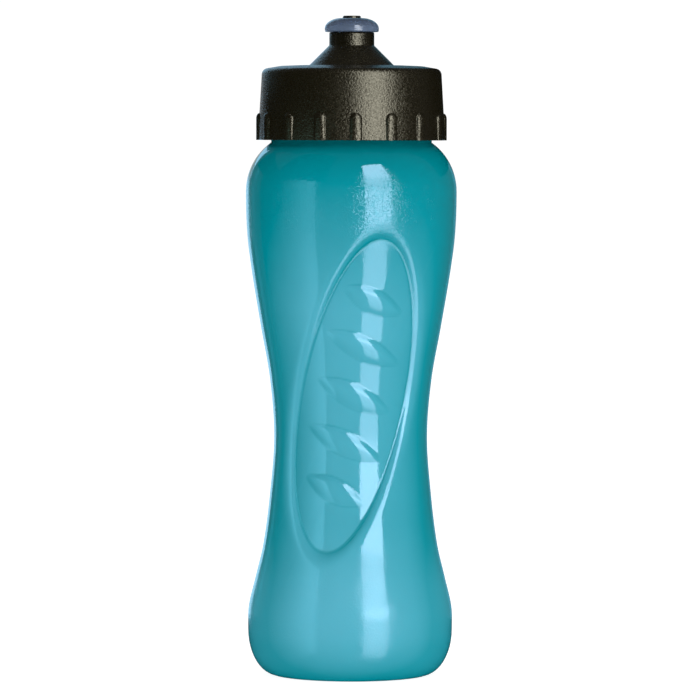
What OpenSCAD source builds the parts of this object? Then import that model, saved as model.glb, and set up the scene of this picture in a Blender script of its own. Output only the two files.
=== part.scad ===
// Sports squeeze bottle: a waisted soft bottle with an oval finger grip on its front and back, a screw lid with a
// sealing washer, and a push-pull valve that slides on a fixed post.
// Millimetres. The origin is the centre of the base, +Z is up and the front grip faces -Y.

/* [Bottle] */
// Largest radius, just under the shoulder
body_r = 37; // [36.5:0.1:37.5]
// Smallest radius, at the waist
waist_r = 26.9; // [26.5:0.1:27.5]
// Largest radius near the base
hip_r = 35.9; // [35.5:0.1:36.3]
// Wall of the blown body
wall = 1; // [0.8:0.1:1.2]
// Wall of the neck
neck_wall = 1.6; // [1.4:0.1:1.8]
// Height of the hollow under the base
push_up = 3.2; // [2:0.1:4]

/* [Grip] */
// Half of the grip oval's length at its outer edge
grip_half_length = 61; // [60:0.5:62]
// Half of the grip oval's width at its outer edge
grip_half_width = 21.4; // [19:0.1:22]
// Width of the step between the oval's outer edge and its floor
grip_step = 2.8; // [2:0.1:4]
// Depth of the floor below the body's surface
grip_depth = 2.3; // [1.8:0.1:2.6]
// Lean of the oval from upright, in degrees
grip_lean = 11.7; // [8:0.1:15]
// Number of finger ribs
finger_count = 5; // [3:2:5]
// Distance between finger ribs along the oval
finger_pitch = 16.9; // [15:0.1:18]
// Length of the middle finger rib
finger_length = 30; // [24:0.5:31]
// Width of a finger rib
finger_width = 8.8; // [7:0.1:9]
// Height of a finger rib above the floor
finger_height = 1; // [0.6:0.1:1.5]
// Fall of a finger rib towards the right, in degrees
finger_slope = 24; // [15:1:30]

/* [Lid] */
// Number of grip ribs round the lid
rib_count = 16; // [12:2:18]
// Width of a grip rib
rib_width = 4.2; // [3:0.1:4.5]
// Radius that the grip ribs reach
rib_reach = 33.5; // [33.3:0.05:34]
// Height of a grip rib
rib_height = 9.5; // [6:0.1:14]
// Number of thread starts
thread_starts = 2; // [1:1:2]
// Rise of the lid in one turn
thread_lead = 8; // [8:0.5:10]

/* [Valve] */
// Radius of the bore that the valve slides in
bore_r = 6.6; // [6.5:0.05:6.7]
// Clearance between the valve's seal bead and the bore
bead_clearance = 0.08; // [0.05:0.01:0.1]
// Travel of the valve from closed to open
valve_travel = 5.5; // [4:0.1:5.5]

/* [Hidden] */
$fn = 96;

// Heights up the axis
corner_z = 16;
shoulder_z = 169.9;
lid_z = 187.9;
mouth_z = 209.5;
gasket_z = 211;
roof_z = 214.1;
collar_z = 225.7;
dome_z = 225.8;
top_z = 231.5;

// Base, side and shoulder of the bottle
foot_inner_r = 22;
foot_r = 26.1;
shoulder_centre_r = 17.2;
shoulder_rise = 20.7;
neck_r = 28.2;
side_points = [[hip_r, corner_z], [35.7, 24], [33.4, 34], [30.6, 46], [28.3, 64], [waist_r, 84],
               [28.4, 104], [31.55, 122], [34.9, 142], [36.5, 155], [body_r, shoulder_z]];
arc_steps = 8;
side_steps = 3;

// Grip
grip_centre = [1, 99.4];
grip_points = 40;
finger_shrink = 0.2;

// Thread, one ridge on the neck and its partner inside the lid
thread_pitch = thread_lead / thread_starts;
thread_z = 193;
neck_thread_turn = 420;
lid_thread_turn = 300;
neck_crest_r = 29.9;
lid_crest_r = 29.1;
ridge_base = 2.2;
ridge_crest = 0.9;
ridge_root = 0.4;
turn_step = 10;
ridge_runout = 4;

// Lid
lid_outer_r = 32.8;
lid_inner_r = 30.8;
lid_edge = 0.3;
lid_profile = [[lid_outer_r, lid_z + lid_edge], [32.3, 198], [31.6, 210.6], [31.2, 211.6], [30.4, 212.4],
               [28.5, 213.2], [25, 213.85], [20, roof_z]];
seat_inner_r = 24.8;
roof_inner_r = 22.8;
roof_wall = 2.1;
cone_r = 14.9;
cone_wall = 2.5;
collar_r = 7.9;
tube_r = 8.2;
tube_z = 211.6;
lip_r = 6.15;
lip_height = 0.8;
first_rib = 3.3;

// Valve and its post
stem_r = 6;
stem_bore_r = 4.6;
bead_height = 1.3;
bead_lead = 0.6;
stop_gap = 0.15;
bead_z = collar_z - lip_height - (bore_r - lip_r) - stop_gap - valve_travel - bead_height;
stem_z = bead_z - bead_lead;
dome_r = 9.5;
dome_edge = 1.2;
dome_rise = 3.7;
hole_depth = 1.5;
pin_r = 2.6;
pin_flare = 0.6;
pin_flare_height = 2;
tip_r = 3.4;
tip_top_r = 3.1;
tip_edge = 0.3;
tip_length = 2.6;
tip_clearance = 0.06;
press = 0.03;
post_ring_inner_r = 5.4;
post_ring_height = 2.4;
post_flange = 0.9;
spoke_count = 3;
spoke_width = 1.6;
spoke_height = 1.9;
spoke_overlap = 0.8;

// Washer
gasket_inner_r = 25.4;
gasket_clearance = 0.4;

// How far a cutting shape reaches past what it cuts
overshoot = 1;

teal = [0.05, 0.56, 0.62];
black = [0.09, 0.09, 0.1];
blue_grey = [0.55, 0.68, 0.76];
silicone_white = [0.88, 0.88, 0.86];

// A quarter or part of an ellipse from angle a to angle b, as points
function ellipse_arc(centre, half_r, half_z, a, b) =
    [for (i = [0 : arc_steps])
        let (t = a + (b - a) * i / arc_steps)
        [centre.x + half_r * cos(t), centre.y + half_z * sin(t)]];

// Slope of the side at one of its points, upright at both ends
function side_slope(i) =
    i == 0 || i == len(side_points) - 1 ? 0
    : (side_points[i + 1].x - side_points[i - 1].x) / (side_points[i + 1].y - side_points[i - 1].y);

// Radius part of the way, t, from side point i to the next, on a smooth curve
function side_radius(i, t) =
    let (a = side_points[i], b = side_points[i + 1], h = b.y - a.y)
    a.x * (1 + 2 * t) * pow(1 - t, 2) + b.x * (3 - 2 * t) * t * t
    + h * side_slope(i) * t * pow(1 - t, 2) - h * side_slope(i + 1) * t * t * (1 - t);

// The blown outline from the base's centre up to a radius on the neck, set in by a distance
function outline(inset, neck) =
    let (rise = push_up + inset,
         corner = ellipse_arc([foot_r, corner_z], hip_r - foot_r - inset, corner_z - inset, -90, 0),
         reach = acos((neck - shoulder_centre_r) / (body_r - shoulder_centre_r - inset)),
         shoulder = ellipse_arc([shoulder_centre_r, shoulder_z],
                                body_r - shoulder_centre_r - inset, shoulder_rise - inset, 0, reach))
    concat([[0, rise], [foot_inner_r * 0.4, rise - push_up * 0.1], [foot_inner_r * 0.8, rise - push_up * 0.6],
            [foot_inner_r, inset]],
           corner,
           [for (i = [0 : len(side_points) - 2], k = [1 : side_steps])
               if (i < len(side_points) - 2 || k < side_steps)
                   let (a = side_points[i].y, b = side_points[i + 1].y, t = k / side_steps)
                   [side_radius(i, t) - inset, a + (b - a) * t]],
           shoulder);

// The solid inside the outline, with the neck carried straight up to a height
module blown(inset, neck, top) {
    rotate_extrude()
        polygon(concat(outline(inset, neck), [[neck, top], [0, top]]));
}

// An upright oval leaning by grip_lean, pushed out from the axis towards the front
module oval_prism(half_length, half_width) {
    translate([grip_centre.x, 0, grip_centre.y])
        rotate([90, 0, 0])
            rotate(-grip_lean)
                linear_extrude(body_r * 2)
                    polygon([for (i = [0 : grip_points - 1])
                                let (t = 360 * i / grip_points)
                                [half_width * cos(t), half_length * sin(t)]]);
}

// The part of an oval prism that lies further out than the outline set in by a depth
module oval_recess(half_length, half_width, depth) {
    difference() {
        oval_prism(half_length, half_width);
        blown(depth, neck_r - neck_wall, mouth_z);
    }
}

// A leaf outline, the overlap of two circles
module leaf(length, width) {
    arc_r = (length * length + width * width) / (4 * width);
    intersection_for (side = [-1, 1])
        translate([0, side * (arc_r - width / 2)])
            circle(arc_r);
}

// The leaf-shaped ribs on the floor of the grip
module finger_ribs() {
    middle = (finger_count - 1) / 2;
    intersection() {
        difference() {
            blown(grip_depth - finger_height, neck_r - neck_wall, mouth_z);
            blown(grip_depth + wall / 2, neck_r - neck_wall, mouth_z);
        }
        union() {
            for (i = [0 : finger_count - 1]) {
                along = (i - middle) * finger_pitch;
                shrink = abs(i - middle) == middle ? 1 - finger_shrink : 1;
                translate([grip_centre.x + along * sin(grip_lean), 0, grip_centre.y + along * cos(grip_lean)])
                    rotate([90, 0, 0])
                        rotate(-finger_slope)
                            linear_extrude(body_r * 2)
                                leaf(finger_length * shrink, finger_width);
            }
        }
    }
}

// A screw ridge as one solid; side is 1 when it stands out from root_r and -1 when it stands in from it
module ridge(root_r, crest_r, start, turn) {
    steps = turn / turn_step;
    away = sign(crest_r - root_r);
    points = [for (i = [0 : steps])
                let (z = thread_lead * i * turn_step / 360,
                     full = min(1, (i + 1) / ridge_runout, (steps - i + 1) / ridge_runout),
                     crest = root_r + (crest_r - root_r) * full,
                     root = root_r - away * ridge_root)
                each [[root, z - ridge_base / 2], [crest, z - ridge_crest / 2],
                      [crest, z + ridge_crest / 2], [root, z + ridge_base / 2]]];
    turned = [for (k = [0 : len(points) - 1])
                let (a = start + floor(k / 4) * turn_step)
                [points[k].x * cos(a), points[k].x * sin(a), points[k].y]];
    sides = [for (i = [0 : steps - 1], k = [0 : 3])
                let (p = 4 * i + k, q = 4 * i + (k + 1) % 4)
                each [[p, q, q + 4], [p, q + 4, p + 4]]];
    caps = [[0, 3, 2], [0, 2, 1], [4 * steps, 4 * steps + 1, 4 * steps + 2], [4 * steps, 4 * steps + 2, 4 * steps + 3]];
    faces = concat(sides, caps);
    polyhedron(turned, away > 0 ? faces : [for (f = faces) [f[2], f[1], f[0]]]);
}

module bottle_body() {
    color(teal)
    difference() {
        union() {
            difference() {
                blown(0, neck_r, mouth_z);
                for (turn = [0, 180])
                    rotate(turn) {
                        oval_recess(grip_half_length, grip_half_width, grip_depth / 2);
                        oval_recess(grip_half_length - grip_step * 2, grip_half_width - grip_step, grip_depth);
                    }
            }
            for (turn = [0, 180])
                rotate(turn)
                    finger_ribs();
            for (start = [0 : thread_starts - 1])
                translate([0, 0, thread_z])
                    ridge(neck_r, neck_crest_r, start * 360 / thread_starts, neck_thread_turn);
        }
        difference() {
            blown(wall, neck_r - neck_wall, mouth_z + overshoot);
            for (turn = [0, 180])
                rotate(turn)
                    oval_recess(grip_half_length + wall, grip_half_width + wall, grip_depth + wall);
        }
    }
}

// The vertical grip ribs, each a half-round with a round top
module lid_ribs() {
    wall_r = lid_outer_r - 0.1;
    proud = rib_reach - wall_r;
    rib_r = (pow(rib_width / 2, 2) + proud * proud) / (2 * proud);
    straight = rib_height - rib_width / 2;
    difference() {
        for (i = [0 : rib_count - 1])
            rotate(first_rib - 90 + i * 360 / rib_count)
                translate([rib_reach - rib_r, 0, lid_z]) {
                    cylinder(r = rib_r, h = straight);
                    translate([0, 0, straight])
                        sphere(rib_r);
                }
        cylinder(r = lid_inner_r + 1, h = top_z);
        cylinder(r = body_r, h = lid_z);
    }
}

// The lid's wall, crowned roof, cone and collar, with the tube that the valve slides in still solid
module lid_shell() {
    rotate_extrude()
        polygon(concat([[lid_inner_r, lid_z], [lid_outer_r - lid_edge, lid_z]],
                       lid_profile,
                       [[cone_r, roof_z], [collar_r, roof_z + cone_r - collar_r], [collar_r, collar_z - lid_edge],
                        [collar_r - lid_edge, collar_z], [0, collar_z], [0, tube_z], [tube_r, tube_z],
                        [tube_r, roof_z + cone_r - cone_wall - tube_r],
                        [cone_r - cone_wall + roof_wall, roof_z - roof_wall], [roof_inner_r, roof_z - roof_wall],
                        [seat_inner_r, gasket_z], [lid_inner_r, gasket_z]]));
}

// The bore that the valve slides in, with a small lip at its top that wipes the stem
module valve_bore() {
    lip_z = collar_z - lip_height;
    ramp = bore_r - lip_r;
    translate([0, 0, tube_z - overshoot])
        cylinder(r = bore_r, h = lip_z - ramp - tube_z + overshoot);
    translate([0, 0, lip_z - ramp])
        cylinder(r1 = bore_r, r2 = lip_r, h = ramp);
    translate([0, 0, lip_z])
        cylinder(r = lip_r, h = lip_height + overshoot);
}

module screw_lid() {
    color(black) {
        difference() {
            union() {
                lid_shell();
                lid_ribs();
            }
            valve_bore();
        }
        for (start = [0 : thread_starts - 1])
            translate([0, 0, thread_z + thread_pitch / 2])
                ridge(lid_inner_r, lid_crest_r, start * 360 / thread_starts, lid_thread_turn);
    }
}

module lid_gasket() {
    color(silicone_white)
    translate([0, 0, mouth_z])
        difference() {
            cylinder(r = lid_inner_r - gasket_clearance, h = gasket_z - mouth_z);
            translate([0, 0, -overshoot])
                cylinder(r = gasket_inner_r, h = gasket_z - mouth_z + 2 * overshoot);
        }
}

// The post stands on three spokes in a ring that is pressed into the lower end of the lid's bore
module valve_post() {
    base_z = tube_z - post_flange;
    spoke_start = pin_r - spoke_overlap;
    color(black) {
        rotate_extrude()
            polygon([[0, base_z], [pin_r + pin_flare, base_z], [pin_r, base_z + pin_flare_height],
                     [pin_r, top_z - tip_length - tip_r + pin_r], [tip_r, top_z - tip_length],
                     [tip_r, top_z - tip_length / 2], [tip_top_r, top_z - tip_edge], [tip_top_r - tip_edge, top_z],
                     [0, top_z]]);
        translate([0, 0, base_z])
            difference() {
                union() {
                    cylinder(r = tube_r, h = post_flange);
                    cylinder(r = bore_r + press, h = post_flange + post_ring_height);
                }
                translate([0, 0, -overshoot])
                    cylinder(r = post_ring_inner_r, h = post_flange + post_ring_height + 2 * overshoot);
            }
        for (i = [0 : spoke_count - 1])
            rotate(90 + i * 360 / spoke_count)
                translate([spoke_start, -spoke_width / 2, base_z])
                    cube([post_ring_inner_r + spoke_overlap - spoke_start, spoke_width, spoke_height]);
    }
}

module pull_valve() {
    bead_r = bore_r - bead_clearance;
    hole_r = tip_r + tip_clearance;
    dome = ellipse_arc([hole_r, dome_z + dome_edge], dome_r - hole_r, dome_rise, 0, 90);
    color(blue_grey)
    rotate_extrude()
        polygon(concat([[stem_bore_r, stem_z], [stem_r, stem_z], [bead_r, bead_z],
                        [bead_r, bead_z + bead_height - (bead_r - stem_r)], [stem_r, bead_z + bead_height],
                        [stem_r, dome_z], [dome_r - dome_edge / 2, dome_z]],
                       dome,
                       [[hole_r, dome_z + dome_edge + dome_rise - hole_depth],
                        [stem_bore_r, dome_z + dome_edge + dome_rise - hole_depth - (stem_bore_r - hole_r)]]));
}

bottle_body();
screw_lid();
lid_gasket();
valve_post();
pull_valve();
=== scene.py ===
import math

import bpy
import numpy as np
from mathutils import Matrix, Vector


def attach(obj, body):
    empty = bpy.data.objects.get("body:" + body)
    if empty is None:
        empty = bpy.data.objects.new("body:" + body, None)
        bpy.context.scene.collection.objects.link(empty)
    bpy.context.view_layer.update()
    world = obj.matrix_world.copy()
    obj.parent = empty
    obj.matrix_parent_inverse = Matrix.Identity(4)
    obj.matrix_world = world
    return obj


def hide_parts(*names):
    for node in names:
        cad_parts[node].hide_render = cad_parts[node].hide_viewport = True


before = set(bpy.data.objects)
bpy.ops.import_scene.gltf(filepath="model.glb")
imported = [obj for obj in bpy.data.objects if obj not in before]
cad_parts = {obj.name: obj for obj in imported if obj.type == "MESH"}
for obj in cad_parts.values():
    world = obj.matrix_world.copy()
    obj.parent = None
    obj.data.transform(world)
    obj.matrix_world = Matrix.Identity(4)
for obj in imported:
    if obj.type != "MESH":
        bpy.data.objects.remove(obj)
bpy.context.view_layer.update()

MM = 0.001

# --------------------------------------------------------------------------------------------------
# Camera
# --------------------------------------------------------------------------------------------------

CAMERA_DISTANCE = 1.8
CAMERA_ASIDE = -0.0003
CAMERA_HEIGHT = 0.193
AIM_HEIGHT = 0.1142
VIEW_HEIGHT = 0.2461
SENSOR = 36.0
CAMERA_ROLL = math.radians(0.17)


def make_camera():
    """A long lens at the height of the lid, looking slightly down at the front grip."""
    data = bpy.data.cameras.new("camera")
    data.sensor_width = SENSOR
    drop = CAMERA_HEIGHT - AIM_HEIGHT
    data.lens = SENSOR * math.hypot(CAMERA_DISTANCE, drop) / VIEW_HEIGHT
    camera = bpy.data.objects.new("camera", data)
    camera.location = (CAMERA_ASIDE, -CAMERA_DISTANCE, CAMERA_HEIGHT)
    camera.rotation_mode = "ZYX"
    camera.rotation_euler = (math.pi / 2 - math.atan2(drop, CAMERA_DISTANCE), 0.0, CAMERA_ROLL)
    bpy.context.scene.collection.objects.link(camera)
    bpy.context.scene.camera = camera


# --------------------------------------------------------------------------------------------------
# Material recipes
# --------------------------------------------------------------------------------------------------


def set_stops(color_ramp, stops):
    """Sets a ramp's stops from (position, value) pairs; a value is a grey level or a colour."""
    elements = color_ramp.elements
    while len(elements) < len(stops):
        elements.new(1.0)
    for element, (position, value) in zip(elements, stops):
        element.position = position
        element.color = value if isinstance(value, tuple) else (value, value, value, 1.0)


class Recipe:
    """A procedural material. Each method adds a node and gives back its output."""

    def __init__(self, name):
        self.material = bpy.data.materials.new(name)
        self.material.use_nodes = True
        self.tree = self.material.node_tree
        self.shader = self.tree.nodes["Principled BSDF"]
        self.output = self.tree.nodes["Material Output"]
        coordinates = self.node("ShaderNodeTexCoord")
        self.place = coordinates.outputs["Object"]
        self.normal = coordinates.outputs["Normal"]

    def node(self, kind):
        return self.tree.nodes.new(kind)

    def feed(self, socket, value):
        """Links an output to a socket, or sets the socket to a plain value."""
        if isinstance(value, bpy.types.NodeSocket):
            self.tree.links.new(value, socket)
        else:
            socket.default_value = value

    def set(self, name, value):
        self.feed(self.shader.inputs[name], value)

    def split(self, vector):
        node = self.node("ShaderNodeSeparateXYZ")
        self.feed(node.inputs["Vector"], vector)
        return node.outputs

    def math(self, operation, first, second=0.0):
        node = self.node("ShaderNodeMath")
        node.operation = operation
        self.feed(node.inputs[0], first)
        self.feed(node.inputs[1], second)
        return node.outputs["Value"]

    def ramp(self, factor, stops):
        node = self.node("ShaderNodeValToRGB")
        set_stops(node.color_ramp, stops)
        self.feed(node.inputs["Fac"], factor)
        return node.outputs["Color"]

    def noise(self, size, detail=3.0, stretch=(1.0, 1.0, 1.0)):
        """Noise with features of about size metres, longer along an axis whose stretch is under 1."""
        scaled = self.node("ShaderNodeMapping")
        scaled.inputs["Scale"].default_value = stretch
        self.feed(scaled.inputs["Vector"], self.place)
        node = self.node("ShaderNodeTexNoise")
        node.inputs["Scale"].default_value = 1.0 / size
        node.inputs["Detail"].default_value = detail
        self.feed(node.inputs["Vector"], scaled.outputs["Vector"])
        return node.outputs["Fac"]

    def mix(self, factor, first, second):
        node = self.node("ShaderNodeMix")
        node.data_type = "RGBA"
        self.feed(node.inputs["Factor"], factor)
        self.feed(node.inputs["A"], first)
        self.feed(node.inputs["B"], second)
        return node.outputs["Result"]

    def sharpness(self, low, high):
        """0 where the surface is less sharp than low, 1 where it is sharper than high. Flat is 0.5."""
        sharp = self.node("ShaderNodeNewGeometry").outputs["Pointiness"]
        return self.ramp(sharp, [(low, 0.0), (high, 1.0)])

    def bump(self, height, distance, under=None):
        """Raises the surface by up to distance metres, over another bump if there is one."""
        node = self.node("ShaderNodeBump")
        node.inputs["Distance"].default_value = distance
        self.feed(node.inputs["Height"], height)
        if under is not None:
            self.feed(node.inputs["Normal"], under)
        return node.outputs["Normal"]


# --------------------------------------------------------------------------------------------------
# Lights, world and floor
# --------------------------------------------------------------------------------------------------

WHITE = (1.0, 1.0, 1.0)
EVEN = [(0.0, 1.0), (1.0, 1.0)]

FLOOR_SIZE = 6.0
FLOOR_GREY = 0.3
FLOOR_ROUGHNESS = 0.9
# How strongly the floor glows: to the camera, and as a light
FLOOR_SEEN = 0.9
FLOOR_GLOW = 0.75

# The world's colours: the dome's foot and top, and what the gloss and the camera see in its place
HORIZON = (1.07, 1.07, 1.07, 1.0)
ZENITH = (0.66, 0.66, 0.66, 1.0)
ROOM = (0.08, 0.08, 0.08, 1.0)
BACKDROP = (1.05, 1.05, 1.05, 1.0)

KEY_RADIANCE = 2.8
KEY_SIZE = 0.9
KEY_PLACE = (0.9, -1.2, 0.45)
KEY_AIM = (0.0, 0.0, 0.1)

# The strip box: its two ends (x, y), its foot and top, and its brightness from foot to top
STRIP_RADIANCE = 14.0
STRIP_ENDS = (0.16, -0.62), (0.44, -0.46)
STRIP_LOW, STRIP_HIGH = -0.55, 0.92
STRIP_UP = [
    (0.0, 0.0), (0.12, 0.33), (0.3, 0.45), (0.39, 0.52), (0.45, 0.92), (0.5, 0.92), (0.56, 0.66),
    (0.64, 0.7), (0.74, 0.96), (1.0, 0.96),
]

# The side panel: it runs back from its near end, its top slopes down that way, and it fades out
PANEL_RADIANCE = 3.4
PANEL_COLOUR = (0.52, 1.0, 1.0)
PANEL_X = -0.70
PANEL_NEAR_Y, PANEL_FAR_Y = -0.86, 0.35
PANEL_LOW, PANEL_NEAR_TOP, PANEL_FAR_TOP = -0.55, 0.545, 0.50
PANEL_ALONG = [(0.0, 1.0), (0.2, 0.85), (0.5, 0.2), (0.65, 0.0)]
PANEL_UP = [(0.0, 0.5), (1.0, 1.0)]

# The walls behind the bottle: a bright one and two faint ones, from one x to another
WALL_RADIANCE = 2.1
WALL_COLOUR = (0.45, 0.75, 1.0)
WALL_ALONG = [(0.0, 1.0), (1.0, 0.4)]
FAINT_COLOUR = (0.3, 0.75, 1.0)
FAINT_ALONG = [(0.0, 0.2), (1.0, 0.2)]
WALL_Y = 1.5
WALL_LOW, WALL_HIGH = -0.6, 1.2
LEFT_WALL = (-0.78, 0.02)
WALL_EDGE = (-1.72, -1.30)
RIGHT_WALL = (0.02, 0.72)

# The low card behind the lid, for the light along the lid's edges
LID_CARD_RADIANCE = 0.7
LID_CARD_ALONG = [(0.0, 0.6), (0.45, 1.0), (0.6, 0.12), (1.0, 0.05)]
LID_CARD = ((-0.15, 0.25), (0.10, 0.25), 0.186, 0.23)

# Black flags round the lid and the shoulder, each from one point (x, y) to another, with its foot and top
FLAGS = {
    "shoulder_flag": ((-0.100, -0.030), (-0.046, 0.0095), 0.186, 0.207),
    "right_flag": ((0.030, 0.050), (0.075, 0.005), 0.186, 0.25),
    "lid_flag": ((-0.030, -0.075), (-0.085, -0.020), 0.188, 0.30),
}
MAT_HALF_WIDTH = 0.25
MAT_NEAR_Y, MAT_FAR_Y = -0.03, 0.2


def gloss_card(name, corners, material):
    """A four-cornered card that shows in the bottle's gloss alone."""
    mesh = bpy.data.meshes.new(name)
    mesh.from_pydata([Vector(corner) for corner in corners], [], [(0, 1, 2, 3)])
    layer = mesh.uv_layers.new(name="card")
    for spot, place in zip(layer.data, ((0, 0), (1, 0), (1, 1), (0, 1))):
        spot.uv = place
    mesh.materials.append(material)
    card = bpy.data.objects.new(name, mesh)
    card.visible_camera = False
    card.visible_diffuse = False
    card.visible_shadow = False
    bpy.context.scene.collection.objects.link(card)


def glow(name, colour, radiance, across, up):
    """A glowing material. across and up are ramps of its brightness over a card, from one edge to the
    other, as (part of the way, brightness)."""
    recipe = Recipe(name)
    split = recipe.split(recipe.node("ShaderNodeUVMap").outputs["UV"])
    bright = recipe.math("MULTIPLY", recipe.ramp(split["X"], across), recipe.ramp(split["Y"], up))
    emission = recipe.node("ShaderNodeEmission")
    emission.inputs["Color"].default_value = (*colour, 1.0)
    recipe.feed(emission.inputs["Strength"], recipe.math("MULTIPLY", bright, radiance))
    recipe.feed(recipe.output.inputs["Surface"], emission.outputs["Emission"])
    return recipe.material


def black_flag():
    """A black that gives nothing back."""
    recipe = Recipe("flag_black")
    recipe.set("Base Color", (0.0, 0.0, 0.0, 1.0))
    recipe.set("Specular IOR Level", 0.0)
    return recipe.material


def upright(left, right, low, high):
    """The corners of an upright card between two points (x, y), from its lower left one."""
    return [(*left, low), (*right, low), (*right, high), (*left, high)]


def make_cards():
    """What the gloss shows: a tall strip on the right, a wide dim panel on the left, walls behind, a low
    card behind the lid, and black flags and a mat."""
    strip = glow("strip_glow", WHITE, STRIP_RADIANCE, EVEN, STRIP_UP)
    gloss_card("strip_box", upright(*STRIP_ENDS, STRIP_LOW, STRIP_HIGH), strip)
    panel = glow("panel_glow", PANEL_COLOUR, PANEL_RADIANCE, PANEL_ALONG, PANEL_UP)
    panel_corners = [
        (PANEL_X, PANEL_NEAR_Y, PANEL_LOW), (PANEL_X, PANEL_FAR_Y, PANEL_LOW),
        (PANEL_X, PANEL_FAR_Y, PANEL_FAR_TOP), (PANEL_X, PANEL_NEAR_Y, PANEL_NEAR_TOP),
    ]
    gloss_card("side_panel", panel_corners, panel)
    bright = glow("wall_glow", WALL_COLOUR, WALL_RADIANCE, WALL_ALONG, EVEN)
    faint = glow("faint_glow", FAINT_COLOUR, WALL_RADIANCE, FAINT_ALONG, EVEN)
    walls = [
        ("left_wall", LEFT_WALL, bright), ("wall_edge", WALL_EDGE, faint), ("right_wall", RIGHT_WALL, faint),
    ]
    for name, (left, right), material in walls:
        gloss_card(name, upright((left, WALL_Y), (right, WALL_Y), WALL_LOW, WALL_HIGH), material)
    behind_lid = glow("lid_glow", WHITE, LID_CARD_RADIANCE, LID_CARD_ALONG, EVEN)
    gloss_card("lid_backdrop", upright(*LID_CARD), behind_lid)
    black = black_flag()
    for name, place in FLAGS.items():
        gloss_card(name, upright(*place), black)
    mat_corners = [
        (-MAT_HALF_WIDTH, MAT_NEAR_Y, 0.0), (MAT_HALF_WIDTH, MAT_NEAR_Y, 0.0),
        (MAT_HALF_WIDTH, MAT_FAR_Y, 0.0), (-MAT_HALF_WIDTH, MAT_FAR_Y, 0.0),
    ]
    gloss_card("mat", mat_corners, black)


def make_key():
    """A big soft lamp in front on the right, for everything but the gloss."""
    light = bpy.data.lights.new("key", "AREA")
    light.size = KEY_SIZE
    light.energy = KEY_RADIANCE * math.pi * KEY_SIZE ** 2
    lamp = bpy.data.objects.new("key", light)
    lamp.location = KEY_PLACE
    lamp.rotation_euler = (Vector(KEY_AIM) - lamp.location).to_track_quat("-Z", "Y").to_euler()
    lamp.visible_camera = False
    lamp.visible_glossy = False
    bpy.context.scene.collection.objects.link(lamp)


def mix_by_ray(tree, ray, otherwise, hit):
    """A colour for one kind of ray and another for the rest."""
    path = tree.nodes.new("ShaderNodeLightPath")
    mix = tree.nodes.new("ShaderNodeMix")
    mix.data_type = "RGBA"
    tree.links.new(path.outputs[ray], mix.inputs["Factor"])
    tree.links.new(otherwise, mix.inputs["A"])
    mix.inputs["B"].default_value = hit
    return mix.outputs["Result"]


def make_world():
    """White to the camera, a dim room for the gloss, and a plain pale dome for soft light."""
    world = bpy.data.worlds.new("studio")
    world.use_nodes = True
    tree = world.node_tree
    tree.nodes.clear()
    place = tree.nodes.new("ShaderNodeTexCoord")
    split = tree.nodes.new("ShaderNodeSeparateXYZ")
    dome = tree.nodes.new("ShaderNodeValToRGB")
    set_stops(dome.color_ramp, [(0.0, HORIZON), (1.0, ZENITH)])
    tree.links.new(place.outputs["Generated"], split.inputs["Vector"])
    tree.links.new(split.outputs["Z"], dome.inputs["Fac"])
    room = mix_by_ray(tree, "Is Glossy Ray", dome.outputs["Color"], ROOM)
    seen = mix_by_ray(tree, "Is Camera Ray", room, BACKDROP)
    sky = tree.nodes.new("ShaderNodeBackground")
    output = tree.nodes.new("ShaderNodeOutputWorld")
    tree.links.new(seen, sky.inputs["Color"])
    tree.links.new(sky.outputs["Background"], output.inputs["Surface"])
    bpy.context.scene.world = world


def make_floor():
    """A pale floor that the bottle's gloss doesn't show, nearly white to the camera."""
    corners = [
        (-FLOOR_SIZE, -FLOOR_SIZE, 0.0), (FLOOR_SIZE, -FLOOR_SIZE, 0.0),
        (FLOOR_SIZE, FLOOR_SIZE, 0.0), (-FLOOR_SIZE, FLOOR_SIZE, 0.0),
    ]
    mesh = bpy.data.meshes.new("floor")
    mesh.from_pydata(corners, [], [(0, 1, 2, 3)])
    floor = bpy.data.objects.new("floor", mesh)
    floor.visible_glossy = False
    bpy.context.scene.collection.objects.link(floor)
    recipe = Recipe("floor_paper")
    recipe.set("Base Color", (FLOOR_GREY, FLOOR_GREY, FLOOR_GREY, 1.0))
    recipe.set("Roughness", FLOOR_ROUGHNESS)
    recipe.set("Emission Color", (*WHITE, 1.0))
    seen = recipe.node("ShaderNodeLightPath").outputs["Is Camera Ray"]
    recipe.set("Emission Strength", recipe.ramp(seen, [(0.0, FLOOR_GLOW), (1.0, FLOOR_SEEN)]))
    mesh.materials.append(recipe.material)


# --------------------------------------------------------------------------------------------------
# Mesh tools
# --------------------------------------------------------------------------------------------------

# Half of a corner's turn, in radians: under STRAIGHT it isn't rounded, and FILLET_STEP is one step of it
STRAIGHT = 0.01
FILLET_STEP = math.radians(8.0)
# Radii closer than SAME millimetres are the same, and TINY keeps a division from 0
SAME = 0.01
TINY = 1e-6


def arc(centre, half_r, half_z, start, end, count):
    """Points along part of an ellipse in the turning section, from one angle to another in degrees."""
    angles = np.radians(np.linspace(start, end, count + 1))
    return np.column_stack([centre[0] + half_r * np.cos(angles), centre[1] + half_z * np.sin(angles)])


def straight(start, end, count):
    """Points along a straight line, both ends included."""
    return np.linspace(start, end, count + 1)


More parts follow.
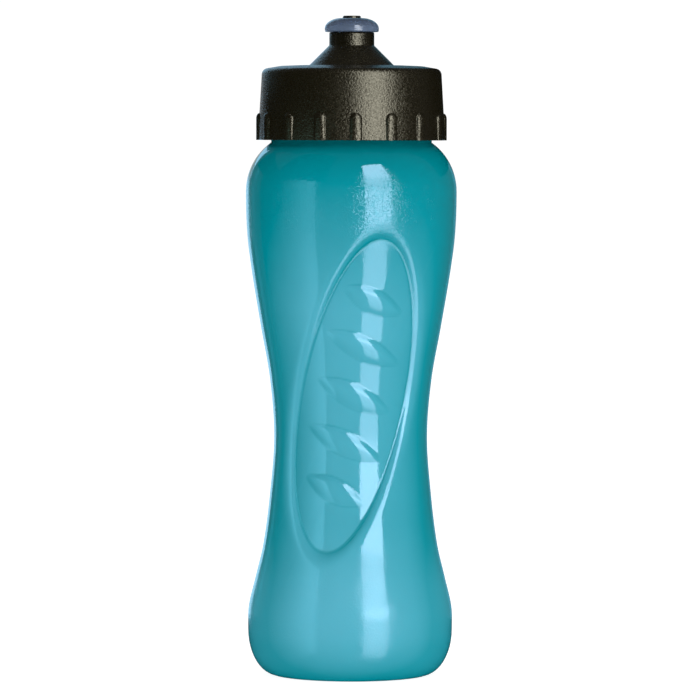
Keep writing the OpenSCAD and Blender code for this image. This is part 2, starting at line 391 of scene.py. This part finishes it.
def rounded(corners, step):
    """A closed section from corners (radius, height, fillet), with its corners rounded and its long edges
    divided. A corner may end with a step of its own, for the edge that starts there."""
    spots = [np.array(corner[:2], float) for corner in corners]
    points, steps = [], []
    for i, corner in enumerate(corners):
        fillet = corner[2]
        step_here = corner[3] if len(corner) > 3 else step
        here = spots[i]
        back = spots[i - 1] - here
        ahead = spots[(i + 1) % len(corners)] - here
        back /= np.linalg.norm(back)
        ahead /= np.linalg.norm(ahead)
        half_turn = (math.pi - math.acos(np.clip(back @ ahead, -1.0, 1.0))) / 2
        if fillet == 0.0 or half_turn < STRAIGHT:
            points.append(here)
            steps.append(step_here)
            continue
        reach = fillet * math.tan(half_turn)
        begin, end = here + back * reach, here + ahead * reach
        centre = here + (back + ahead) / np.linalg.norm(back + ahead) * fillet / math.cos(half_turn)
        pieces = max(2, math.ceil(half_turn / FILLET_STEP))
        for t in np.linspace(0.0, 1.0, pieces + 1):
            chord = begin + (end - begin) * t
            points.append(centre + (chord - centre) / np.linalg.norm(chord - centre) * fillet)
            steps.append(step_here)
    filled = []
    for a, b, longest in zip(points, points[1:] + points[:1], steps):
        count = max(1, math.ceil(np.linalg.norm(b - a) / longest))
        filled.extend(a + (b - a) * k / count for k in range(count))
    return np.array(filled)


def turned(name, section, angles, closed, shape=None):
    """A smooth mesh turned round the axis. The section is closed, or it starts and ends on the axis.
    shape(radius, height, angle) may move each point. An angle is counted from the front, -Y, towards +X."""
    poles = [] if closed else [section[0][1], section[-1][1]]
    rings = np.array(section if closed else section[1:-1], float)
    angle = np.asarray(angles)[None, :]
    radius = np.repeat(rings[:, 0:1], angle.shape[1], axis=1)
    height = np.repeat(rings[:, 1:2], angle.shape[1], axis=1)
    if shape is not None:
        radius, height = shape(radius, height, angle)
    points = np.stack([radius * np.sin(angle), -radius * np.cos(angle), height], axis=-1).reshape(-1, 3)
    points = np.vstack([points] + [[[0.0, 0.0, z]] for z in poles]) * MM
    count, across = len(rings), angle.shape[1]
    index = np.arange(count * across).reshape(count, across)
    right = np.roll(index, -1, axis=1)
    if closed:
        low, low_right = index, right
        high, high_right = np.roll(index, -1, axis=0), np.roll(right, -1, axis=0)
    else:
        low, low_right = index[:-1], right[:-1]
        high, high_right = index[1:], right[1:]
    quads = np.stack([low, low_right, high_right, high], axis=-1).reshape(-1, 4)
    faces = quads.tolist()
    if not closed:
        first, last = count * across, count * across + 1
        faces += [(first, b, a) for a, b in zip(index[0].tolist(), right[0].tolist())]
        faces += [(last, a, b) for a, b in zip(index[-1].tolist(), right[-1].tolist())]
    mesh = bpy.data.meshes.new(name)
    mesh.from_pydata(points.tolist(), [], faces)
    mesh.validate()
    mesh.shade_smooth()
    piece = bpy.data.objects.new(name, mesh)
    bpy.context.scene.collection.objects.link(piece)
    return piece


def even_angles(count):
    return np.linspace(-math.pi, math.pi, count, endpoint=False)


def smooth(t):
    """0 to 1 with no slope at either end."""
    t = np.clip(t, 0.0, 1.0)
    return t * t * (3 - 2 * t)


def ridge_height(height, angle, foot, turn):
    """How far a screw ridge stands up at each point, from 0 to 1. It starts at the height foot, facing +X,
    and runs turn degrees round the axis."""
    degrees = np.degrees(angle) - 90.0
    climb = THREAD_LEAD * degrees / 360.0
    pitch = THREAD_LEAD / THREAD_STARTS
    offset = (height - foot - climb + pitch / 2) % pitch - pitch / 2
    along = (height - offset - foot) * 360.0 / THREAD_LEAD
    flank = (RIDGE_BASE - RIDGE_CREST) / 2
    across = smooth((RIDGE_BASE / 2 - np.abs(offset)) / flank)
    return across * smooth(along / RIDGE_RUNOUT) * smooth((turn - along) / RIDGE_RUNOUT)


# --------------------------------------------------------------------------------------------------
# Bottle body
# --------------------------------------------------------------------------------------------------

# The body's side from the hip to the shoulder, as (radius, height)
SIDE = np.array([(35.9, 16), (35.7, 24), (33.4, 34), (30.6, 46), (28.3, 64), (26.9, 84),
                 (28.4, 104), (31.55, 122), (34.9, 142), (36.5, 155), (37.0, 169.9)])
BODY_R = SIDE[-1, 0]
HIP_R = SIDE[0, 0]
CORNER_Z = SIDE[0, 1]
SHOULDER_Z = SIDE[-1, 1]
# The base: a foot ring, and a hollow pushed up inside it
FOOT_R = 26.1
FOOT_INNER_R = 22.0
PUSH_UP = 3.2
SHOULDER_CENTRE_R = 17.2
SHOULDER_RISE = 20.7
WALL = 1.0
NECK_R = 28.2
NECK_WALL = 1.6
MOUTH_Z = 209.5

# The grip's leaning oval: half sizes (across, along) of its outline and of its floor, and its softness
GRIP_CENTRE = (1.0, 99.4)
GRIP_LEAN = math.radians(11.7)
GRIP_OUTER = (23.2, 63.0)
GRIP_FLOOR = (18.9, 55.6)
GRIP_DEPTH = 2.0
GRIP_SOFTNESS = 3.0
FLOOR_FILLET = 0.3
WELL_INSIDE = -0.2

# Where the mesh is close enough for the grips: heights, and degrees to each side of the front and back
GRIP_LOW, GRIP_HIGH = 36.0, 163.0
GRIP_STEP = 0.58
GRIP_HALF_ANGLE = 60
GRIP_COLUMNS = 111
SIDE_COLUMNS = 21
GRIP_FACING = 0.3

# Leaf-shaped ribs on the grip's floor; the crest is off the middle by FINGER_CREST of the half width
FINGER_COUNT = 5
FINGER_PITCH = 16.9
FINGER_LENGTH = 30.0
FINGER_END_LENGTH = 24.0
FINGER_WIDTH = 8.8
FINGER_HEIGHT = 1.0
FINGER_SLOPE = math.radians(24.0)
FINGER_CREST = 0.2
FINGER_FILLET = 0.1

# The screw ridges; turns and run-outs are in degrees
THREAD_STARTS = 2
THREAD_LEAD = 8.0
THREAD_Z = 193.0
NECK_TURN = 420.0
NECK_CREST_R = 29.9
RIDGE_BASE = 2.2
RIDGE_CREST = 0.9
RIDGE_RUNOUT = 40.0

# Points round the outer shell's corners and round the inner one's, and up the neck, its lip and its bore
CORNER_STEPS = 12
INNER_CORNER_STEPS = 6
INNER_STEP = GRIP_STEP * 10
NECK_STEPS = 28
LIP_STEPS = 8
BORE_STEPS = 6
# How far the neck's points start above its foot
NECK_ROOT = 1.0


def side_radius(height):
    """The body's radius from its hip to its shoulder: a smooth curve through SIDE, upright at both ends."""
    radii, heights = SIDE[:, 0], SIDE[:, 1]
    slopes = np.zeros(len(SIDE))
    slopes[1:-1] = (radii[2:] - radii[:-2]) / (heights[2:] - heights[:-2])
    i = np.clip(np.searchsorted(heights, height, side="right") - 1, 0, len(SIDE) - 2)
    span = heights[i + 1] - heights[i]
    t = (height - heights[i]) / span
    return (radii[i] * (1 + 2 * t) * (1 - t) ** 2 + radii[i + 1] * (3 - 2 * t) * t ** 2
            + span * slopes[i] * t * (1 - t) ** 2 - span * slopes[i + 1] * t ** 2 * (1 - t))


def blown_outline(inset, neck, step, corner_steps):
    """The blown shell's outline, from the axis under the base up to the foot of the neck, set in by inset."""
    shoulder_r = BODY_R - SHOULDER_CENTRE_R - inset
    reach = math.degrees(math.acos((neck - SHOULDER_CENTRE_R) / shoulder_r))
    hollow = np.linspace(0.0, FOOT_INNER_R, corner_steps)
    rise = PUSH_UP * (1 - smooth(hollow / FOOT_INNER_R)) + inset
    corner = arc((FOOT_R, CORNER_Z), HIP_R - FOOT_R - inset, CORNER_Z - inset, -90, 0, corner_steps)
    grip = np.arange(GRIP_LOW, GRIP_HIGH, step)
    low = np.linspace(CORNER_Z, GRIP_LOW, corner_steps, endpoint=False)[1:]
    high = np.linspace(GRIP_HIGH, SHOULDER_Z, corner_steps // 2, endpoint=False)
    heights = np.concatenate([low, grip, high])
    side = np.column_stack([side_radius(heights) - inset, heights])
    shoulder_centre = (SHOULDER_CENTRE_R, SHOULDER_Z)
    shoulder = arc(shoulder_centre, shoulder_r, SHOULDER_RISE - inset, 0, reach, corner_steps)
    return np.vstack([np.column_stack([hollow, rise]), corner, side, shoulder])


def grip_depth(across, up):
    """How deep the grip's oval recess is at a point seen from the front."""
    dx, dz = across - GRIP_CENTRE[0], up - GRIP_CENTRE[1]
    along = dx * math.sin(GRIP_LEAN) + dz * math.cos(GRIP_LEAN)
    aside = dx * math.cos(GRIP_LEAN) - dz * math.sin(GRIP_LEAN)
    past_floor = np.hypot(aside / GRIP_FLOOR[0], along / GRIP_FLOOR[1]) - 1
    to_edge = 1 - np.hypot(aside / GRIP_OUTER[0], along / GRIP_OUTER[1])
    # t is below 0 over the floor, 0 at its outline and 1 at the grip's outline
    t = np.clip(past_floor / np.maximum(past_floor + to_edge, TINY), -1.0, 1.0)
    t = np.where(to_edge <= 0, 1.0, np.where(past_floor <= WELL_INSIDE, -1.0, t))
    side = GRIP_DEPTH * (1 - t) ** GRIP_SOFTNESS
    blend = np.clip(0.5 + (side - GRIP_DEPTH) / (2 * FLOOR_FILLET), 0.0, 1.0)
    depth = side + (GRIP_DEPTH - side) * blend - FLOOR_FILLET * blend * (1 - blend)
    return np.maximum(depth, 0.0)


def finger_height(across, up):
    """How far the leaf-shaped finger ribs stand up from the grip's floor at a point seen from the front."""
    total = np.zeros_like(across)
    middle = (FINGER_COUNT - 1) / 2
    for i in range(FINGER_COUNT):
        place = (i - middle) * FINGER_PITCH
        dx = across - GRIP_CENTRE[0] - place * math.sin(GRIP_LEAN)
        dz = up - GRIP_CENTRE[1] - place * math.cos(GRIP_LEAN)
        length = FINGER_END_LENGTH if abs(i - middle) == middle else FINGER_LENGTH
        along = (dx * math.cos(FINGER_SLOPE) - dz * math.sin(FINGER_SLOPE)) / (length / 2)
        aside = dx * math.sin(FINGER_SLOPE) + dz * math.cos(FINGER_SLOPE)
        leaf = np.clip(1 - along ** 2, 0.0, 1.0)
        t = np.clip(aside / np.maximum(FINGER_WIDTH / 2 * leaf, TINY), -2.0, 2.0)
        above = (t - FINGER_CREST) / (1 - FINGER_CREST)
        below = (FINGER_CREST - t) / (1 + FINGER_CREST)
        flank = np.maximum(above, below)
        bump = (1 - flank ** 2) * leaf
        blend = np.clip(0.5 + bump / (2 * FINGER_FILLET), 0.0, 1.0)
        total = np.maximum(total, bump * blend + FINGER_FILLET * blend * (1 - blend))
    return FINGER_HEIGHT * total


def bottle_shape(radius, height, angle):
    """Presses the two grips into the blown wall and raises the screw ridges on the neck."""
    facing = np.cos(angle)
    across = radius * np.sin(angle) * np.sign(facing)
    pressed = grip_depth(across, height) - finger_height(across, height)
    in_grip = (height > GRIP_LOW) & (height < GRIP_HIGH) & (np.abs(facing) > GRIP_FACING)
    radius = radius - np.where(in_grip, pressed, 0.0)
    outside = np.abs(radius - NECK_R) < SAME
    on_neck = outside & (height > THREAD_Z - RIDGE_BASE) & (height < MOUTH_Z - RIDGE_BASE)
    ridge = ridge_height(height, angle, THREAD_Z, NECK_TURN) * (NECK_CREST_R - NECK_R)
    return radius + np.where(on_neck, ridge, 0.0), height


def bottle_angles():
    """Close columns over both grips, and wider ones between them."""
    grip = np.radians(np.linspace(-GRIP_HALF_ANGLE, GRIP_HALF_ANGLE, GRIP_COLUMNS))
    side = np.radians(np.linspace(GRIP_HALF_ANGLE, 180 - GRIP_HALF_ANGLE, SIDE_COLUMNS + 2))[1:-1]
    return np.concatenate([grip, side, grip + math.pi, side + math.pi])


def make_bottle():
    """The blown body with its grips, neck and screw ridges."""
    bore_r = NECK_R - NECK_WALL
    outer = blown_outline(0.0, NECK_R, GRIP_STEP, CORNER_STEPS)
    inner = blown_outline(WALL, bore_r, INNER_STEP, INNER_CORNER_STEPS)
    lip = NECK_WALL / 2
    neck = straight((NECK_R, outer[-1, 1] + NECK_ROOT), (NECK_R, MOUTH_Z - lip), NECK_STEPS)
    rim = arc((NECK_R - lip, MOUTH_Z - lip), lip, lip, 0, 180, LIP_STEPS)[1:-1]
    bore = straight((bore_r, MOUTH_Z - lip), (bore_r, inner[-1, 1] + NECK_ROOT), BORE_STEPS)
    section = np.vstack([outer, neck, rim, bore, inner[::-1]])
    piece = turned("squeeze_body", section, bottle_angles(), False, bottle_shape)
    piece.data.materials.append(bottle_material())
    finish_piece(piece, "bottle", "bottle_body")


# --------------------------------------------------------------------------------------------------
# Lid
# --------------------------------------------------------------------------------------------------

LID_Z = 187.9
LID_OUTER_R = 32.8
OUTER_WALL_DEPTH = 1.2
# Where the outer wall's steep draft starts, its rounded top edge, and the crowned roof
DRAFT_R, DRAFT_Z = 32.3, 198.0
EDGE_R, EDGE_Z = 31.45, 212.75
CROWN_R, CROWN_Z = 25.0, 213.85
ROOF_R = 19.0
LID_INNER_R = 30.8
LID_CREST_R = 29.1
LID_TURN = 300.0
GASKET_Z = 211.0
ROOF_Z = 214.1
COLLAR_Z = 225.7
COLLAR_R = 7.9
CONE_R = 14.9
BORE_R = 6.6
LIP_R = 6.15
LIP_DEPTH = 0.8
BORE_START = 1.25
# The tube round the bore, and the ceiling with its seat for the washer
TUBE_R = 8.2
TUBE_Z = 211.6
TUBE_ROOT_Z = 218.3
CEILING_Z = 212.0
CEILING_R = 14.5
SEAT_STEP_R = 22.8
SEAT_R = 24.8
LID_STEP = 0.8
WALL_STEP = 0.3
RIB_COUNT = 16
RIB_WIDTH = 4.2
RIB_HEIGHT = 9.5
RIB_REACH = 33.5
RIB_FIRST = math.radians(2.7)
RIB_FOOT = 1.08
RIB_COLUMNS = 13
GAP_COLUMNS = 5


def lid_shape(radius, height, angle):
    """Raises the grip ribs on the lid's outer wall and the screw ridges inside it."""
    sector = 2 * math.pi / RIB_COUNT
    offset = ((angle - RIB_FIRST + sector / 2) % sector - sector / 2) * LID_OUTER_R
    over = np.maximum(height - (LID_Z + RIB_HEIGHT - RIB_WIDTH / 2), 0.0)
    reach = np.hypot(offset, over) / (RIB_WIDTH / 2)
    proud = np.maximum(RIB_REACH - radius, 0.0)
    bulge = np.sqrt(np.clip(1 - reach ** 2, 0.0, 1.0))
    outer = radius > LID_OUTER_R - OUTER_WALL_DEPTH
    radius = radius + np.where(outer, proud * bulge, 0.0)
    inner = np.abs(radius - LID_INNER_R) < SAME
    ridge = ridge_height(height, angle, THREAD_Z + THREAD_LEAD / THREAD_STARTS / 2, LID_TURN)
    return radius - np.where(inner, ridge * (LID_INNER_R - LID_CREST_R), 0.0), height


def lid_angles():
    """Close columns across each rib and a few between them."""
    half = RIB_WIDTH / 2 / LID_OUTER_R
    sector = 2 * math.pi / RIB_COUNT
    rib = half * np.sin(np.linspace(-math.pi / 2, math.pi / 2, RIB_COLUMNS))
    foot = half * RIB_FOOT
    plain = np.linspace(foot, sector - foot, GAP_COLUMNS)
    rib_and_plain = np.concatenate([rib, plain])
    return np.concatenate([RIB_FIRST + i * sector + rib_and_plain for i in range(RIB_COUNT)])


def make_lid():
    """The lid: its ribbed wall, crowned roof, cone and collar, and inside it the bore, tube and ceiling."""
    corners = [
        (LID_INNER_R, LID_Z, 0.3), (LID_OUTER_R, LID_Z, 0.25, WALL_STEP), (DRAFT_R, DRAFT_Z, 0.0),
        (EDGE_R, EDGE_Z, 2.2), (CROWN_R, CROWN_Z, 8.0), (ROOF_R, ROOF_Z, 0.0), (CONE_R, ROOF_Z, 0.35),
        (COLLAR_R, ROOF_Z + CONE_R - COLLAR_R, 0.3), (COLLAR_R, COLLAR_Z, 0.45), (LIP_R, COLLAR_Z, 0.3),
        (LIP_R, COLLAR_Z - LIP_DEPTH, 0.0), (BORE_R, COLLAR_Z - BORE_START, 0.0), (BORE_R, TUBE_Z, 0.2),
        (TUBE_R, TUBE_Z, 0.2), (TUBE_R, TUBE_ROOT_Z, 0.5), (CEILING_R, CEILING_Z, 0.5),
        (SEAT_STEP_R, CEILING_Z, 0.5), (SEAT_R, GASKET_Z, 0.3), (LID_INNER_R, GASKET_Z, 0.3),
    ]
    piece = turned("ribbed_lid", rounded(corners, LID_STEP), lid_angles(), True, lid_shape)
    piece.data.materials.append(lid_material("grained_polypropylene"))
    finish_piece(piece, "lid", "screw_lid")


# --------------------------------------------------------------------------------------------------
# Washer, post and valve
# --------------------------------------------------------------------------------------------------

WASHER_INNER_R = 25.4
WASHER_OUTER_R = 30.4
WASHER_FILLET = 0.25
WASHER_STEP = 0.8
WASHER_COLUMNS = 160

# The valve: its stem with a seal bead, and its dome with a hole for the post's tip
STEM_R = 6.0
STEM_BORE_R = 4.6
STEM_Z = 216.9
BEAD_R = 6.52
BEAD_LOW, BEAD_HIGH, BEAD_END = 217.5, 218.3, 218.8
DOME_Z = 225.8
DOME_R = 9.5
DOME_UNDERCUT = 0.05
DOME_EDGE = 1.2
DOME_RISE = 3.7
DOME_STOP = 82
DOME_STEPS = 16
HOLE_R = 3.46
HOLE_TOP, HOLE_LOW, HOLE_END = 4.9, 3.4, 2.2
VALVE_STEP = 0.5
VALVE_COLUMNS = 96

# The post: a pin with a flared foot and a wider tip, on spokes in a ring
TOP_Z = 231.5
TIP_R = 3.4
TIP_TOP_R = 3.1
TIP_EDGE = 0.35
TIP_LENGTH = 2.6
TIP_TAPER = 0.8
TIP_SIDE = 1.2
PIN_R = 2.6
PIN_FLARE = 0.6
FLARE_HEIGHT = 2.0
PIN_COLUMNS = 64
POST_Z = 210.7
RING_INNER_R = 5.4
RING_HEIGHT = 3.3
RING_STEP = 0.6
RING_COLUMNS = 96
SPOKE_COUNT = 3
SPOKE_WIDTH = 1.6
SPOKE_HEIGHT = 1.9
SPOKE_OVERLAP = 0.2
SPOKE_EDGE = 0.2
BOX_FACES = [(0, 1, 3, 2), (4, 6, 7, 5), (0, 4, 5, 1), (2, 3, 7, 6), (0, 2, 6, 4), (1, 5, 7, 3)]


def make_gasket():
    """The flat washer between the mouth and the lid's ceiling."""
    corners = [
        (WASHER_INNER_R, MOUTH_Z, WASHER_FILLET), (WASHER_OUTER_R, MOUTH_Z, WASHER_FILLET),
        (WASHER_OUTER_R, GASKET_Z, WASHER_FILLET), (WASHER_INNER_R, GASKET_Z, WASHER_FILLET),
    ]
    piece = turned("silicone_washer", rounded(corners, WASHER_STEP), even_angles(WASHER_COLUMNS), True)
    piece.data.materials.append(gasket_material())
    finish_piece(piece, "washer", "lid_gasket")


def make_spokes():
    """The bars that join the pin to its ring, with softened edges."""
    points, faces = [], []
    for i in range(SPOKE_COUNT):
        angle = math.pi / 2 + i * 2 * math.pi / SPOKE_COUNT
        outward = Vector((math.cos(angle), math.sin(angle), 0.0))
        sideways = Vector((-math.sin(angle), math.cos(angle), 0.0))
        faces += [tuple(corner + len(points) for corner in face) for face in BOX_FACES]
        for radius in (PIN_R - SPOKE_OVERLAP, RING_INNER_R + SPOKE_OVERLAP):
            for aside in (-SPOKE_WIDTH / 2, SPOKE_WIDTH / 2):
                for height in (POST_Z, POST_Z + SPOKE_HEIGHT):
                    points.append((outward * radius + sideways * aside + Vector((0.0, 0.0, height))) * MM)
    mesh = bpy.data.meshes.new("post_spokes")
    mesh.from_pydata(points, [], faces)
    piece = bpy.data.objects.new("post_spokes", mesh)
    bpy.context.scene.collection.objects.link(piece)
    soften = piece.modifiers.new("soften", "BEVEL")
    soften.width = SPOKE_EDGE * MM
    soften.segments = 2
    return piece


def make_post():
    """The fixed pin, with its ring and spokes at the bottom of the lid's bore."""
    tip_z = TOP_Z - TIP_LENGTH
    section = np.vstack([
        [(0.0, POST_Z)],
        straight((PIN_R + PIN_FLARE, POST_Z), (PIN_R, POST_Z + FLARE_HEIGHT), 3),
        straight((PIN_R, POST_Z + FLARE_HEIGHT + 1.0), (PIN_R, tip_z - TIP_TAPER), 12),
        straight((TIP_R, tip_z), (TIP_R, tip_z + TIP_SIDE), 3),
        arc((TIP_TOP_R - TIP_EDGE, TOP_Z - TIP_EDGE), TIP_EDGE, TIP_EDGE, 15, 90, 5),
        straight((TIP_TOP_R - TIP_EDGE * 2, TOP_Z), (0.5, TOP_Z), 4),
        [(0.0, TOP_Z)],
    ])
    pin = turned("post_pin", section, even_angles(PIN_COLUMNS), False)
    ring_corners = [
        (RING_INNER_R, POST_Z, 0.15), (TUBE_R, POST_Z, 0.15), (TUBE_R, TUBE_Z, 0.15), (BORE_R, TUBE_Z, 0.0),
        (BORE_R, POST_Z + RING_HEIGHT, 0.2), (RING_INNER_R, POST_Z + RING_HEIGHT, 0.2),
    ]
    ring = turned("post_ring", rounded(ring_corners, RING_STEP), even_angles(RING_COLUMNS), True)
    spokes = make_spokes()
    black = lid_material("post_polypropylene")
    for part in (pin, ring, spokes):
        part.data.materials.append(black)
    finish_piece(pin, "lid", "valve_post")
    finish_piece(ring, "lid")
    finish_piece(spokes, "lid")


def make_valve():
    """The mushroom-shaped valve that slides on the post."""
    dome = arc((HOLE_R, DOME_Z + DOME_EDGE), DOME_R - HOLE_R, DOME_RISE, 0, DOME_STOP, DOME_STEPS)
    corners = [
        (STEM_BORE_R, STEM_Z, 0.15), (STEM_R, STEM_Z, 0.2), (BEAD_R, BEAD_LOW, 0.1), (BEAD_R, BEAD_HIGH, 0.1),
        (STEM_R, BEAD_END, 0.1), (STEM_R, DOME_Z, 0.2), (DOME_R - DOME_UNDERCUT, DOME_Z, 0.5),
    ]
    corners += [(radius, height, 0.0) for radius, height in dome]
    corners += [
        (HOLE_R, DOME_Z + HOLE_TOP, 0.15), (HOLE_R, DOME_Z + HOLE_LOW, 0.1),
        (STEM_BORE_R, DOME_Z + HOLE_END, 0.3),
    ]
    piece = turned("mushroom_valve", rounded(corners, VALVE_STEP), even_angles(VALVE_COLUMNS), True)
    piece.data.materials.append(valve_material())
    finish_piece(piece, "valve", "pull_valve")


def finish_piece(piece, body, node=None):
    """Ties a piece to its body and hides the CAD node that it stands for."""
    if node is not None:
        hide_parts(node)
    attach(piece, body)


# --------------------------------------------------------------------------------------------------
# Materials
# --------------------------------------------------------------------------------------------------

# Colours, each with its alpha. The body's runs from deep to pale, for its painted shade and light as well as
# its wall's thickness
DEEP_TEAL = (0.0, 0.20, 0.235, 1.0)
MID_TEAL = (0.0, 0.255, 0.31, 1.0)
PALE_TEAL = (0.10, 0.43, 0.555, 1.0)
TEAL_GLOSS = (0.54, 0.72, 0.98, 1.0)
LID_DARK = (0.0048, 0.0038, 0.0013, 1.0)
LID_CLOUDY = (0.0085, 0.0068, 0.0025, 1.0)
LID_RUBBED = (0.02, 0.018, 0.015, 1.0)
LID_GLOSS = (1.0, 0.96, 0.77, 1.0)
SILICONE_DUSTY = (0.66, 0.66, 0.62, 1.0)
SILICONE_CLEAN = (0.80, 0.80, 0.77, 1.0)
VALVE_DARK = (0.05, 0.065, 0.11, 1.0)
VALVE_LIT_RIM = (0.30, 0.42, 0.62, 1.0)

# Ramps of (height in metres, amount). The body's wall: how pale it is, partly for its thinness and partly
# painted light and shade, with painted shade under the lid and at the foot; how much the painted shade at its
# sides is eased; and how scuffed it is, which is most where it is widest and rubs on things
PAINTED_LIGHT_AND_THINNESS = [
    (0.0, 0.40), (0.006, 0.66), (0.017, 0.94), (0.030, 1.0), (0.055, 0.76), (0.130, 0.84), (0.158, 0.44),
    (0.172, 0.28), (0.184, 0.05),
]
# Painted shade at the sides, eased most near the foot
SIDE_SHADE_EASE = [(0.0, 0.75), (0.012, 0.55), (0.035, 0.50), (0.06, 0.2)]
WALL_WEAR = [
    (0.0, 0.4), (0.02, 0.7), (0.035, 0.55), (0.05, 0.15), (0.145, 0.15), (0.158, 0.8), (0.172, 0.8),
    (0.18, 0.0),
]
# How pale the valve is painted at each height: paler round the rim of its dome, a painted light, and darker
# over its top, painted shade where the black post shows through
VALVE_PAINTED_RIM = [(0.2260, 0.75), (0.2275, 0.6), (0.2295, 0.2), (0.2310, 0.1)]


def bottle_material():
    """Glossy translucent polyethylene with scuffs and fine scratches. Its colour is partly the wall's
    thickness and partly painted light and shade: paler on faces turned to the front and back and through the
    middle, deeper at the sides, at the foot and under the lid, with painted shade in creases."""
    recipe = Recipe("teal_polyethylene")
    height = recipe.split(recipe.place)["Z"]
    facing = recipe.math("ABSOLUTE", recipe.split(recipe.normal)["Y"])
    # Painted light and shade: faces turned to the front and back are paler, the sides deeper
    painted_side_shade = recipe.ramp(facing, [(0.4, 0.22), (0.75, 0.76), (0.97, 1.0)])
    eased_side_shade = recipe.math("MAXIMUM", painted_side_shade, recipe.ramp(height, SIDE_SHADE_EASE))
    # Painted light and shade by height, with the wall's thinness: darker under the lid and at the foot
    thin_and_lit = recipe.math("MULTIPLY", recipe.ramp(height, PAINTED_LIGHT_AND_THINNESS), eased_side_shade)
    streaks = recipe.ramp(recipe.noise(0.05, stretch=(1.0, 1.0, 0.4)), [(0.3, 0.0), (0.7, 0.08)])
    # Painted shade in creases: the colour is deepened where the surface folds in, on top of faint random
    # streaks
    crease_shade = recipe.math("SUBTRACT", 1.0, recipe.sharpness(0.44, 0.495))
    streaks_and_crease_shade = recipe.math("ADD", streaks, recipe.math("MULTIPLY", crease_shade, 0.75))
    shade = recipe.math("SUBTRACT", thin_and_lit, streaks_and_crease_shade)
    recipe.set("Base Color", recipe.ramp(shade, [(0.0, DEEP_TEAL), (0.25, MID_TEAL), (1.0, PALE_TEAL)]))
    blotches = recipe.ramp(recipe.noise(0.022, 2.0), [(0.42, 0.35), (0.62, 1.0)])
    patches = recipe.math("MULTIPLY", recipe.ramp(height, WALL_WEAR), blotches)
    speckle = recipe.ramp(recipe.noise(0.0007, 3.0), [(0.47, 0.0), (0.60, 1.0)])
    scuffs = recipe.math("MULTIPLY", patches, speckle)
    scratches = recipe.ramp(recipe.noise(0.004, 2.0, (6.0, 6.0, 0.35)), [(0.66, 0.0), (0.70, 1.0)])
    worn = recipe.math("MAXIMUM", scuffs, recipe.math("MULTIPLY", scratches, patches))
    recipe.set("Roughness", recipe.ramp(worn, [(0.0, 0.03), (1.0, 0.34)]))
    waves = recipe.bump(recipe.noise(0.03, 1.0), 0.00015)
    recipe.set("Normal", recipe.bump(worn, 0.00003, waves))
    recipe.set("IOR", 1.51)
    recipe.set("Specular Tint", TEAL_GLOSS)
    recipe.set("Subsurface Weight", 0.3)
    recipe.set("Subsurface Radius", (0.5, 1.0, 1.0))
    recipe.set("Subsurface Scale", 0.003)
    return recipe.material


def lid_material(name):
    """Black polypropylene with a fine grain from its mould, polished where hands and teeth rub its edges."""
    recipe = Recipe(name)
    grain = recipe.noise(0.0006, 2.0)
    rubbed = recipe.math("MULTIPLY", recipe.sharpness(0.52, 0.62), recipe.noise(0.004))
    shade = recipe.mix(recipe.noise(0.02), LID_DARK, LID_CLOUDY)
    recipe.set("Base Color", recipe.mix(rubbed, shade, LID_RUBBED))
    rough = recipe.ramp(grain, [(0.35, 0.20), (0.65, 0.36)])
    recipe.set("Roughness", recipe.math("SUBTRACT", rough, recipe.math("MULTIPLY", rubbed, 0.12)))
    recipe.set("Specular Tint", LID_GLOSS)
    recipe.set("Specular IOR Level", 0.45)
    recipe.set("Normal", recipe.bump(grain, 0.00019))
    return recipe.material


def gasket_material():
    """Satin silicone with faint dust and cloudiness."""
    recipe = Recipe("silicone")
    recipe.set("Base Color", recipe.mix(recipe.noise(0.006), SILICONE_DUSTY, SILICONE_CLEAN))
    recipe.set("Roughness", recipe.ramp(recipe.noise(0.001), [(0.3, 0.42), (0.7, 0.60)]))
    recipe.set("Normal", recipe.bump(recipe.noise(0.0005), 0.00002))
    recipe.set("Subsurface Weight", 0.2)
    recipe.set("Subsurface Scale", 0.002)
    return recipe.material


def valve_material():
    """Clouded see-through elastomer with painted light and shade: paler and bluer towards the rim of its
    dome, darker over its top where the black post shows through.
    """
    recipe = Recipe("valve_elastomer")
    # Painted light round the dome's rim and painted shade over its top, with a little random tone
    painted_rim = recipe.ramp(recipe.split(recipe.place)["Z"], VALVE_PAINTED_RIM)
    shade = recipe.math("MULTIPLY", painted_rim, recipe.ramp(recipe.noise(0.004), [(0.3, 0.7), (0.7, 1.0)]))
    recipe.set("Base Color", recipe.mix(shade, VALVE_DARK, VALVE_LIT_RIM))
    recipe.set("Roughness", recipe.ramp(recipe.noise(0.002), [(0.3, 0.18), (0.7, 0.28)]))
    recipe.set("Normal", recipe.bump(recipe.noise(0.003), 0.00003))
    recipe.set("Transmission Weight", 0.55)
    recipe.set("IOR", 1.42)
    return recipe.material


# --------------------------------------------------------------------------------------------------
# The scene
# --------------------------------------------------------------------------------------------------

bpy.context.scene.view_settings.view_transform = "Standard"
make_camera()
make_cards()
make_key()
make_world()
make_floor()
make_bottle()
make_lid()
make_gasket()
make_post()
make_valve()

bpy.context.view_layer.update()
